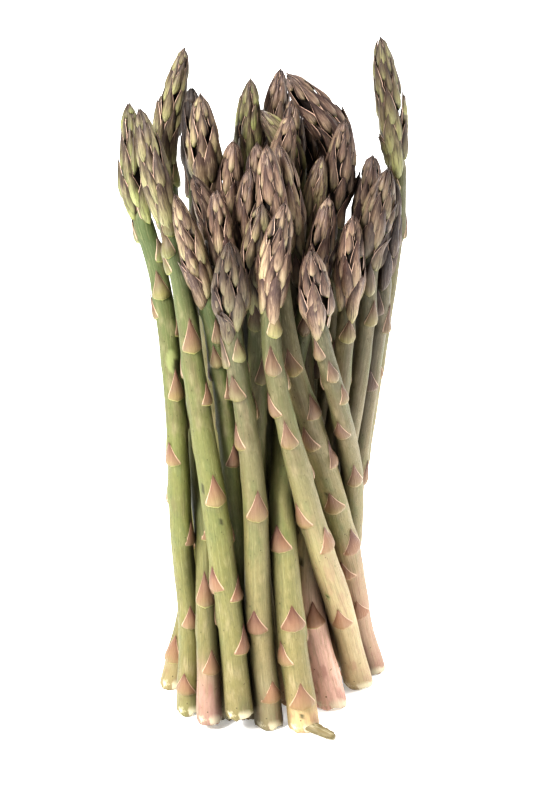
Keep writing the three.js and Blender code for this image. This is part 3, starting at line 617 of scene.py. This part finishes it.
def laying_tree():
    """A place on a spear: at a length up its line, on the side that a flat vector gives, and out from
    its surface. Near the foot it is levelled, so that the cut end is flat."""
    tree, given = new_group("lay on the spear", (
        ("Line", "Geometry"), ("Up", "Float"), ("Side", "Vector"), ("Radius", "Float"), ("Out", "Float"),
        ("Level Height", "Float")), [("Place", "Vector")])
    put = partial(add, tree)
    on_line = {"Curves": given["Line"], "Length": given["Up"]}
    radius = put(SAMPLE, inputs={**on_line, "Value": given["Radius"]})
    along = also(radius, "Tangent")
    lean = put(DOT, along, (1, 0, 0))
    across = put(UNIT, put(VECTOR_MINUS, (1, 0, 0), put(VECTOR_TIMES, along, lean)))
    back = put(CROSS, along, across)
    side = put(SPLIT, given["Side"])
    outward = put(VECTOR_PLUS, put(VECTOR_TIMES, across, side), put(VECTOR_TIMES, back, also(side, "Y")))
    swelling = put(SAMPLE, data_type="FLOAT_VECTOR", inputs={**on_line, "Value": put(READ_VECTOR, "knuckle")})
    knuckle = put(LARGER, put(DOT, given["Side"], swelling), 0.0)
    spoke = put(VECTOR_TIMES, outward, put(PLUS, put(PLUS, radius, given["Out"]), knuckle))
    # A place near the foot slides along the line until it is level with the line's own height.
    slope = put(OVER, put(SPLIT, spoke, take="Z"), put(SPLIT, along, take="Z"))
    share = put(MINUS, 1.0, put(SMOOTHLY, given["Up"], None, given["Level Height"]))
    slide = put(TIMES, slope, put(TIMES, share, -1.0))
    place = put(VECTOR_PLUS, also(radius, "Position"), spoke)
    put("NodeGroupOutput", put(VECTOR_PLUS, place, put(VECTOR_TIMES, along, slide)))
    return tree


# Where a spear's skin is laid out straight, its stem is taken to be this thick, in metres.
STRAIGHT_RADIUS = 4.5 * MM
# The ragged rim of the cut: its spots round the stem, where they start, and how high up it reaches.
RAG_SCALE = 1.7
RAG_FROM = 0.4
RAG_HEIGHT = 4 * MM
# Ribs and swellings: how fast they change round the stem, and up it by the metre.
RIB_SCALE = 2.6
RIBS_UP = 12.0
SWELLS_ROUND = 0.4
SWELLS_UP = 70.0
FLICK_POWER = 4.0


def growing_tree(laying):
    """Grows a spear from its line: the stem's skin, and its leaves bent on to it."""
    tree, given = new_group("grow a spear", (
        ("Line", "Geometry"), ("Leaf", "Object"), ("Skin", "Material"), ("Scales", "Material"),
        ("Sides", "Int"), ("Rings", "Int"), ("Length", "Float"), ("Level Height", "Float"),
        ("Unevenness", "Float"), ("Rib Depth", "Float"), ("Raggedness", "Float"), ("Seed", "Float")),
        [("Spear", "Geometry")])
    put = partial(add, tree)
    line = put("GeometryNodeMeshToCurve", given["Line"])

    def laid(up, side, radius, out):
        """These places on the spear."""
        return put("GeometryNodeGroup", node_tree=laying, inputs={
            "Line": line, "Up": up, "Side": side, "Radius": radius, "Out": out,
            "Level Height": given["Level Height"]})

    # The skin: a tube of even rings, closed by a fan at each end.
    tube = put("GeometryNodeMeshCylinder", fill_type="TRIANGLE_FAN", inputs={
        "Vertices": given["Sides"], "Side Segments": given["Rings"], "Radius": 1.0, "Depth": 1.0})
    at = put(SPLIT, put("GeometryNodeInputPosition"))
    at_y = also(at, "Y")
    side = put(JOIN, at, at_y)
    up = put(TIMES, put(PLUS, also(at, "Z"), 0.5), given["Length"])
    # The rim of the cut is ragged: it climbs a little here and there.
    offset = put(JOIN, None, None, given["Seed"])
    torn = put(NOISE, put(VECTOR_PLUS, side, offset), RAG_SCALE, 2.0)
    torn = put(TIMES, put(LARGER, put(MINUS, torn, RAG_FROM), 0.0), given["Raggedness"])
    rim = put(TIMES, put(REACH, side), put(EVENLY, up, None, RAG_HEIGHT, 1.0, 0.0))
    up = put(PLUS, up, put(TIMES, torn, rim))
    # Ribs a few millimetres wide run up the skin, and the stem swells and narrows a little.
    round_it = put(JOIN, at, at_y, put(TIMES, up, RIBS_UP))
    ribs = put(NOISE, put(VECTOR_PLUS, round_it, offset), RIB_SCALE, 1.0)
    swell_at = put(JOIN, put(TIMES, at, SWELLS_ROUND), put(TIMES, at_y, SWELLS_ROUND),
                   put(TIMES, up, SWELLS_UP))
    swell = put(NOISE, put(VECTOR_PLUS, swell_at, offset), 1.0, 0.0)
    out = put(PLUS, put(TIMES, put(MINUS, ribs, 0.5), given["Rib Depth"]),
              put(TIMES, put(MINUS, swell, 0.5), given["Unevenness"]))
    straight = put(JOIN, put(TIMES, at, STRAIGHT_RADIUS), put(TIMES, at_y, STRAIGHT_RADIUS), up)
    skin = put(KEEP_VECTOR, tube, None, "straight", straight)
    skin = put(KEEP, skin, None, "rise", put(OVER, up, given["Length"]))
    skin = put("GeometryNodeSetPosition", skin, None, laid(up, side, put(READ, "core"), out))
    skin = put("GeometryNodeSetMaterial", skin, None, given["Skin"])

    # The leaves: the flat leaf on every leaf point, made real, mixed between its forms and bent round.
    of_leaf = {name: put(READ, "leaf_" + name) for name in (
        "up", "tall", "low", "high", "flick", "thick", "tilt", "turn", "wide", "broad", "skew", "tone")}
    roots = put("GeometryNodeMeshToPoints", inputs={
        "Mesh": given["Line"], "Selection": put(ABOVE, put(READ, "is_leaf"), 0.5), "Radius": MM})
    leaf = put("GeometryNodeObjectInfo", given["Leaf"], take="Geometry")
    leaves = put("GeometryNodeInstanceOnPoints", inputs={"Points": roots, "Instance": leaf})
    leaves = put("GeometryNodeRealizeInstances", leaves)
    form = put("ShaderNodeMix", of_leaf["broad"], put("GeometryNodeInputPosition"),
               put(READ_VECTOR, "scale_form"), data_type="VECTOR")
    part = put(SPLIT, form)
    height = also(part, "Y")
    leaf_up = put(PLUS, of_leaf["up"], put(TIMES, height, of_leaf["tall"]))
    turn = put(PLUS, of_leaf["turn"], put(PLUS, put(TIMES, part, of_leaf["wide"]),
                                          put(TIMES, height, of_leaf["skew"])))
    stand = put(PLUS, of_leaf["low"], put(TIMES, height, put(MINUS, of_leaf["high"], of_leaf["low"])))
    flick = put(TIMES, put(POWER, put(LARGER, height, 0.0), FLICK_POWER), of_leaf["flick"])
    swollen = put(TIMES, also(part, "Z"), of_leaf["thick"])
    tipped = put(TIMES, part, of_leaf["tilt"])
    leaf_out = put(PLUS, put(PLUS, stand, tipped), put(PLUS, flick, swollen))
    leaf_side = put(JOIN, put(SINE, turn), put(TIMES, put(COSINE, turn), -1.0))
    straight = put(JOIN, put(TIMES, turn, STRAIGHT_RADIUS), of_leaf["tone"], leaf_up)
    leaves = put(KEEP_VECTOR, leaves, None, "straight", straight)
    leaves = put(KEEP, leaves, None, "rise", put(OVER, leaf_up, given["Length"]))
    leaves = put(KEEP, leaves, None, "stands_out", put(TIMES, leaf_out, 1 / MM))
    place = laid(leaf_up, leaf_side, put(READ, "reach"), leaf_out)
    leaves = put("GeometryNodeSetPosition", leaves, None, place)
    leaves = put("GeometryNodeSetMaterial", leaves, None, given["Scales"])

    joined = put("GeometryNodeJoinGeometry", leaves)
    tree.links.new(skin, joined.node.inputs[0])
    put("NodeGroupOutput", joined)
    return tree


# ---- Materials ----

# A wet, waxy plant skin bends light about this much.
PLANT_IOR = 1.45
# How deep the bump of a skin counts, in metres.
BUMP_DEPTH = 0.4 * MM
# What the skins read from a mesh by another output than a plain number's.
TAKES = {"straight": "Vector", "blade": "Vector", "foot_tint": "Color"}


def linear(hex_colour):
    """An sRGB hex colour as linear RGBA."""
    parts = [int(hex_colour[i:i + 2], 16) / 255 for i in (0, 2, 4)]
    return [c / 12.92 if c <= 0.04045 else ((c + 0.055) / 1.055) ** 2.4 for c in parts] + [1.0]


def new_material(name, reads=()):
    """A material, its empty tree, and what the tree reads from a piece's mesh, by name."""
    material = bpy.data.materials.new(name)
    material.use_nodes = True
    tree = material.node_tree
    tree.nodes.clear()
    kept = {label: add(tree, "ShaderNodeAttribute", take=TAKES.get(label, "Fac"), attribute_name=label)
            for label in reads}
    return material, tree, kept


def stretched(tree, place, across, along, detail, roughness=0.5):
    """Noise on the straightened spear: across and along are the sizes of its spots, in millimetres."""
    scale = (1000 / across, 1000 / across, 1000 / along)
    return add(tree, NOISE, add(tree, "ShaderNodeMapping", place, None, None, scale), 1.0, detail, roughness)


def coated(tree, colour, *coats):
    """A colour with coats over it, each as (how strongly, its colour)."""
    for strength, coat in coats:
        colour = add(tree, BLEND, strength, colour, linear(coat) if isinstance(coat, str) else coat)
    return colour


def finish_skin(tree, colour, roughness, bump, strength):
    """Ends a skin's tree with its shader, bumped by this pattern."""
    normal = add(tree, "ShaderNodeBump", inputs={
        "Strength": strength, "Distance": BUMP_DEPTH, "Height": bump})
    shader = add(tree, "ShaderNodeBsdfPrincipled", inputs={
        "Base Color": colour, "Roughness": roughness, "Normal": normal, "IOR": PLANT_IOR})
    add(tree, "ShaderNodeOutputMaterial", shader)


def stem_skin():
    """Waxy skin of a living stem: satin over green flesh, finely streaked along its fibres, yellower and
    then tan or pink towards the cut end."""
    material, tree, kept = new_material("asparagus stem skin", (
        "straight", "rise", "dry", "foot", "foot_tint", "graze", "nick", "inside_head", "shade", "pressed"))
    put = partial(add, tree)
    place = kept["straight"]
    heights = (0.0, 0.1, 0.35, 0.58, 0.78, 1.0)
    fresh, dried = (put(RAMP, kept["rise"], stops=list(zip(heights, hexes))) for hexes in (
        ("7a7249", "767144", "717340", "656b3e", "525f3a", "44562f"),
        ("9a8264", "948060", "8e805e", "7c6f55", "5c5340", "484534")))
    colour = put(BLEND, kept["dry"], fresh, dried)
    at_cut = put(TIMES, put(SMOOTHLY, put(SPLIT, place, take="Z"), 0.0055, 0.002), 0.7)
    # Each pattern: the sizes of its spots across and along in millimetres, its detail and roughness, what
    # holds it to a part of the stem, and its coats as (from, to, least, most, colour): as its noise goes
    # from one value to the other, the colour goes on from the least strongly to the most.
    patterns = {
        # A few millimetres wide, greener or browner.
        "patches": (7, 16, 3.0, 0.6, None, [(0.5, 0.68, 0, 0.45, "666e44"), (0.48, 0.3, 0, 0.32, "a6977a")]),
        # Wax rubbed thin in short strokes.
        "rubbed": (0.8, 3, 4.0, 0.7, None, [(0.5, 0.7, 0, 0.35, "4c5233"), (0.46, 0.3, 0, 0.15, "b9ae88")]),
        "bruises": (9, 26, 4.0, 0.55, None, [(0.52, 0.7, 0, 0.5, "6a5b46")]),
        "foot": (1.5, 12, 3.0, 0.65, kept["foot"], [(0.3, 0.55, 0.55, 1.0, kept["foot_tint"])]),
        # Purple, in patches near the cut.
        "blush": (2.6, 10, 3.0, 0.6, kept["foot"], [(0.48, 0.66, 0, 0.6, "94685c")]),
        # Streaks half a millimetre wide and a centimetre or two long.
        "fibres": (0.45, 14, 4.0, 0.65, None,
                   [(0.52, 0.7, 0, 0.4, "565a3a"), (0.46, 0.3, 0, 0.22, "c2b78f")]),
        # Bruised spots, a third of a millimetre and more.
        "specks": (1.1, 1.6, 2.0, 0.5, None, [(0.68, 0.74, 0, 0.75, "484028")]),
        # The cut dries to ragged straw-white patches along its rim.
        "frayed": (3.5, 4, 3.0, 0.6, at_cut, [(0.47, 0.56, 0, 1, "d9d0b4")]),
    }
    noises = {}
    for name, (across, along, detail, roughness, held, coats) in patterns.items():
        noises[name] = stretched(tree, place, across, along, detail, roughness)
        for low, high, least, most, coat in coats:
            strength = put(SMOOTHLY, noises[name], low, high, least, most)
            colour = coated(tree, colour, (put(TIMES, held, strength) if held else strength, coat))
    # Grazes down to the pale flesh, dark nicks, painted shade on the core inside a head, and painted shade on
    # the skin where spears press together.
    colour = coated(tree, colour, (kept["graze"], "858a5c"), (kept["nick"], "3c3a22"),
                    (kept["inside_head"], "241b17"), (put(TIMES, kept["shade"], 0.2), "1c1714"),
                    (put(TIMES, kept["pressed"], 0.7), "1b1a10"))
    pores = stretched(tree, place, 0.35, 1.6, 3.0, 0.7)
    relief = put(PLUS, put(TIMES, pores, 0.4), noises["fibres"])
    finish_skin(tree, colour, put(SMOOTHLY, pores, 0.3, 0.7, 0.42, 0.62), relief, 0.5)
    return material


def leaf_skin():
    """Papery leaf over a bud: matt, ribbed from base to point, green at the base and purple-brown above,
    with a thin pale edge."""
    material, tree, kept = new_material("asparagus scale leaf", (
        "straight", "blade", "dusk", "rise", "foot", "shade", "pressed", "stands_out", "leaf_tone",
        "leaf_fresh", "leaf_broad"))
    put = partial(add, tree)
    place, dusk, broad, new_leaf = (kept[name] for name in ("straight", "dusk", "leaf_broad", "leaf_fresh"))
    blade = put(SPLIT, kept["blade"])
    across = put(UNSIGNED, blade)
    along = also(blade, "Y")
    # The colours run from base to point, and stray a little with the noise, the leaf and the edge.
    wander = stretched(tree, place, 1.2, 4, 2.0)
    strayed = put(TIMES, put(MINUS, wander, 0.5), 0.9)
    toned = put(TIMES, put(MINUS, kept["leaf_tone"], 0.5), 0.42)
    at = put(PLUS, put(PLUS, put(PLUS, along, put(TIMES, strayed, along)), toned), put(TIMES, across, 0.16))

    def by_dusk(*rows):
        """Green, tan and purple heads' colours at the same place on a leaf."""
        green, tan, purple = (put(RAMP, at, stops=list(zip((0.0, 0.24, 0.5, 0.85), row))) for row in rows)
        halfway = put(BLEND, put(EVENLY, dusk, 0, 0.5), green, tan)
        return put(BLEND, put(EVENLY, dusk, 0.5, 1), halfway, purple)

    base = by_dusk(("a0a66c", "8c935e", "737250", "4e4336"), ("b0a680", "a49077", "8a7361", "57433c"),
                   ("8c7e64", "7a6a5a", "64524a", "3c302f"))
    bare = by_dusk(("8c9060", "7e8256", "6c684c", "483c32"), ("a4947a", "96806c", "7c6659", "4e3c37"),
                   ("746656", "66574d", "54443e", "342a29"))
    bract = put(BLEND, new_leaf, bare, base)
    # Stem scales are brown, oranger lower down, and green where they are fresh.
    upper, lower, green = (
        put(RAMP, at, stops=list(zip((0.0, second, 0.55, 1.0), hexes))) for second, hexes in (
            (0.2, ("867650", "7c6850", "735a4a", "60483b")), (0.2, ("8c7955", "8c7155", "85654f", "664639")),
            (0.25, ("747c4b", "686e43", "665c41", "544437"))))
    brown = put(BLEND, put(EVENLY, kept["rise"], 0.6, 0.3), upper, lower)
    scale = put(BLEND, put(TIMES, new_leaf, put(EVENLY, dusk, 0.7, 0.1)), brown, green)
    narrow = put(MINUS, 1.0, put(TIMES, broad, 0.88))
    ribs = stretched(tree, place, 0.55, 7, 3.0, 0.75)
    # Just inside the thin pale edge runs a stripe of painted shade.
    edge_shade_band = put(TIMES, put(SMOOTHLY, across, 0.45, 0.82, 0, 0.5), put(SMOOTHLY, along, 0.1, 0.35))
    # Painted shade on the sides of a bract, where they sink behind its neighbours.
    sunk_shade = put(SMOOTHLY, kept["stands_out"], 0.45, -0.45, 0, 0.95)
    lip = put(TIMES, put(SMOOTHLY, along, 0.07, 0.02, 0, 0.65), put(LARGER, new_leaf, broad))
    margin = put(TIMES, put(SMOOTHLY, across, 0.86, 0.94), put(SMOOTHLY, along, 0.04, 0.14))
    edge = put(BLEND, broad, linear("d8b9a4"), linear("c4a890"))
    colour = coated(
        tree, put(BLEND, broad, bract, scale),
        (put(TIMES, put(SMOOTHLY, ribs, 0.5, 0.62, 0, 0.6), narrow), "3c2d28"),
        (put(TIMES, put(SMOOTHLY, ribs, 0.46, 0.32, 0, 0.3), narrow), "d6c2a2"),
        (put(TIMES, edge_shade_band, narrow), "3a2b27"), (put(TIMES, sunk_shade, narrow), "2c211d"),
        # Scales near the cut are dry and orange-brown.
        (put(TIMES, put(TIMES, kept["foot"], broad), 0.6), "a07658"),
        (lip, "a9ad66"), (put(TIMES, margin, 0.82), edge), (put(TIMES, kept["shade"], narrow), "1c1714"),
        # Painted shade where spears press together.
        (put(TIMES, kept["pressed"], 0.6), "1a1512"))
    finish_skin(tree, colour, put(SMOOTHLY, ribs, 0.3, 0.7, 0.34, 0.55), ribs, 0.8)
    return material


STEM_SKIN = stem_skin()
LEAF_SKIN = leaf_skin()


# ---- Building ----

SIDES = 28
RINGS = 200
LEVEL_HEIGHT = 14 * MM
UNEVENNESS = 0.5 * MM
RIB_DEPTH = 0.5 * MM
RAGGEDNESS = 7 * MM
TORN_SPEAR = "spear_14"
STRIP_ROOT = (17.5, -34, 2.4)
STRIP_END = (27, -41.5, 1.3)
STRIP_WIDTH = (7, 5)
STRIP_THICKNESS = (3.4, 2.4)
STRIP_RINGS = 12
STRIP_SIDES = 12
STRIP_SHADE = 3.5
STRIP_SEED = 3
STRIP_DARK = 0.4


def grown(spear, shift, tree, leaf, seed, lines):
    """One spear's finished mesh as an object."""
    rng = random.Random(seed)
    mesh = line_mesh(spear, shift, leaves_of(spear, rng))
    piece = placed(spear.name + "_grown", mesh)
    modifier = piece.modifiers.new("grow", "NODES")
    modifier.node_group = tree
    sizes = {"Leaf": leaf, "Skin": STEM_SKIN, "Scales": LEAF_SKIN, "Sides": SIDES,
             "Rings": RINGS, "Length": float(spear.length) * MM, "Level Height": LEVEL_HEIGHT,
             "Unevenness": UNEVENNESS, "Rib Depth": RIB_DEPTH, "Raggedness": RAGGEDNESS,
             "Seed": float(7 * seed)}
    for item in tree.interface.items_tree:
        if item.item_type == "SOCKET" and item.in_out == "INPUT" and item.name in sizes:
            modifier[item.identifier] = sizes[item.name]
    graph = bpy.context.evaluated_depsgraph_get()
    made = bpy.data.meshes.new_from_object(piece.evaluated_get(graph), depsgraph=graph)
    made.name = spear.name + "_skin"
    piece.modifiers.remove(modifier)
    piece.data = made
    made.shade_smooth()
    paint(made, spear, with_strip(made, torn_strip()) if spear.name == TORN_SPEAR else 0, lines)
    return piece


def torn_strip():
    """A strip of skin torn off one foot, lying out on the table: a flattened, tapering bar with a ragged
    edge, with the stem skin's own place attributes."""
    root, end = (np.array(place) - (*MIDDLE, 0) for place in (STRIP_ROOT, STRIP_END))
    along = (end - root) / np.linalg.norm(end - root)
    across = np.cross(along, (0, 0, 1))
    across /= np.linalg.norm(across)
    up = np.cross(across, along)
    rng = random.Random(STRIP_SEED)
    points, laid, faces = [], [], []
    for r in range(STRIP_RINGS + 1):
        t = r / STRIP_RINGS
        fray = rng.uniform(0.82, 1.0) * math.sqrt(max(1 - max(t - 0.8, 0) * 4.2, 0.1))
        wide, thick = (mix[0] + (mix[1] - mix[0]) * t for mix in (STRIP_WIDTH, STRIP_THICKNESS))
        for c in range(STRIP_SIDES):
            turn = 2 * math.pi * c / STRIP_SIDES
            aside, above = wide / 2 * fray * math.cos(turn), thick / 2 * math.sin(turn)
            points.append((root + (end - root) * t + across * aside + up * above) * MM)
            laid.append(np.array([aside, above, STRIP_SHADE - 3 * t]) * MM)
    for r in range(STRIP_RINGS):
        for c in range(STRIP_SIDES):
            a, b = r * STRIP_SIDES + c, r * STRIP_SIDES + (c + 1) % STRIP_SIDES
            faces.append((a, b, b + STRIP_SIDES, a + STRIP_SIDES))
    faces.append(tuple(range(STRIP_SIDES - 1, -1, -1)))
    faces.append(tuple(range(STRIP_RINGS * STRIP_SIDES, (STRIP_RINGS + 1) * STRIP_SIDES)))
    strip = bpy.data.meshes.new("torn_strip")
    strip.from_pydata([tuple(p) for p in points], [], faces)
    mark(strip, "straight", "FLOAT_VECTOR", laid)
    return strip


def with_strip(mesh, strip):
    """Adds the strip to a spear's mesh, in the stem skin's material. Gives how many points it adds."""
    both = bmesh.new()
    both.from_mesh(mesh)
    old = len(both.faces)
    both.from_mesh(strip)
    both.faces.ensure_lookup_table()
    skin = list(mesh.materials).index(STEM_SKIN)
    for face in both.faces[old:]:
        face.material_index = skin
        face.smooth = True
    bmesh.ops.recalc_face_normals(both, faces=both.faces[old:])
    both.to_mesh(mesh)
    both.free()
    return len(strip.vertices)


def paint(mesh, spear, torn, lines):
    """Keeps the spear's own colours on its mesh, with painted shade on the core inside its head and where
    other spears come close, for the materials to read. The last `torn` points are a torn strip's, darker and
    without the foot's tint."""
    dusk, dry, tint, top, strength, shade = spear.look
    count = len(mesh.vertices)
    place = np.zeros(count * 3, np.float32)
    mesh.vertices.foreach_get("co", place)
    place = place.reshape(-1, 3) / MM
    height = place[:, 2]
    laid = np.zeros(count * 3, np.float32)
    mesh.attributes["straight"].data.foreach_get("vector", laid)
    laid = laid.reshape(-1, 3)
    up = laid[:, 2] / MM
    neck = spear.length - spear.head[0]
    values = {"dusk": np.full(count, dusk), "dry": np.full(count, dry), "shade": np.full(count, shade),
              "foot": strength * (1 - eased(height, 0.35 * top, top)),
              # Painted shade on the core inside the head, and where other spears come close to the skin.
              "inside_head": eased(up, neck + 3, neck + 13), "pressed": pressed(place, spear, lines),
              "graze": np.zeros(count), "nick": np.zeros(count)}
    round_by = np.arctan2(laid[:, 0], -laid[:, 1])
    for at, turn, tall, wide, kind in MARKS.get(spear.name, ()):
        aside = (round_by - math.radians(turn)) * spear.radius_at(at) / wide
        far = np.hypot((up - at) / tall, aside)
        values[kind] = np.maximum(values[kind], 1 - eased(far, 0.75, 1.1))
    values["foot"][count - torn:] = 0
    values["nick"][count - torn:] = STRIP_DARK
    for name, numbers in values.items():
        mark(mesh, name, "FLOAT", numbers)
    mark(mesh, "foot_tint", "FLOAT_COLOR", np.tile(linear(tint), count))


spears = [Spear(f"spear_{i + 1:02d}", row, look) for i, (row, look) in enumerate(zip(SPEARS, LOOKS))]
shifts = settle(spears)
leaf = placed("leaf", leaf_mesh())
growing = growing_tree(laying_tree())
lines = []
for spear, shift in zip(spears, shifts):
    ups = np.linspace(0, spear.length, CREASE_PLACES)
    lines.append((spear, np.column_stack([settled_line(spear, shift, ups), spear.radius_at(ups)])))
for number, (spear, shift) in enumerate(zip(spears, shifts)):
    piece = grown(spear, shift, growing, leaf, number + 1, lines)
    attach(piece, "root")
    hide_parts(spear.name)
bpy.data.objects.remove(leaf)


# ---- Studio ----

def lamp(name, place, size, watts, aim=(0, 0, 0.12)):
    """A round soft lamp of this width and strength, turned to what it lights."""
    light = bpy.data.lights.new(name, "AREA")
    light.shape = "DISK"
    light.size = size
    light.energy = watts
    holder = placed(name, light)
    holder.location = place
    holder.rotation_euler = (Vector(aim) - Vector(place)).to_track_quat("-Z", "Y").to_euler()


CAMERA_AIM = Vector((2.8, -0.4, 120)) * MM
CAMERA_DISTANCE = 1100 * MM
CAMERA_RISE = math.radians(22)
LENS = 133.65
SENSOR = 36
FLOOR = 6.0
# The floor is bright paper, and it glows a little, so that the feet cast hardly any shadow.
FLOOR_GLOW = 0.25
SKY_STRENGTH = 0.06

camera_data = bpy.data.cameras.new("camera")
camera_data.lens = LENS
camera_data.sensor_width = SENSOR
camera = placed("camera", camera_data)
back = Vector((0, -math.cos(CAMERA_RISE), math.sin(CAMERA_RISE)))
camera.location = CAMERA_AIM + back * CAMERA_DISTANCE
camera.rotation_euler = (-back).to_track_quat("-Z", "Y").to_euler()
bpy.context.scene.camera = camera

floor_mesh = bpy.data.meshes.new("floor")
floor_mesh.from_pydata([(-FLOOR, -FLOOR, 0), (FLOOR, -FLOOR, 0), (FLOOR, FLOOR, 0), (-FLOOR, FLOOR, 0)], [],
                       [(0, 1, 2, 3)])
floor = placed("floor", floor_mesh)
paper, paper_tree, _ = new_material("matt white paper")
add(paper_tree, "ShaderNodeOutputMaterial", add(paper_tree, "ShaderNodeBsdfPrincipled", inputs={
    "Base Color": linear("fafafa"), "Roughness": 0.9, "Emission Color": linear("ffffff"),
    "Emission Strength": FLOOR_GLOW}))
floor_mesh.materials.append(paper)

lamp("key", (-0.7, -0.85, 0.9), 0.35, 26)
lamp("top", (0, -0.15, 1.4), 0.9, 17.5)
lamp("rim", (0.75, 0.2, 0.4), 0.5, 4, (0.04, 0.02, 0))
lamp("backdrop", (0.1, 1.5, 1.3), 0.8, 30, (0, 0.8, 0))
world = bpy.data.worlds.new("studio")
world.use_nodes = True
sky = next(n for n in world.node_tree.nodes if n.type == "BACKGROUND")
sky.inputs["Color"].default_value = (1, 1, 1, 1)
sky.inputs["Strength"].default_value = SKY_STRENGTH
bpy.context.scene.world = world
bpy.context.scene.view_settings.view_transform = "Standard"
bpy.context.scene.view_settings.look = "High Contrast"
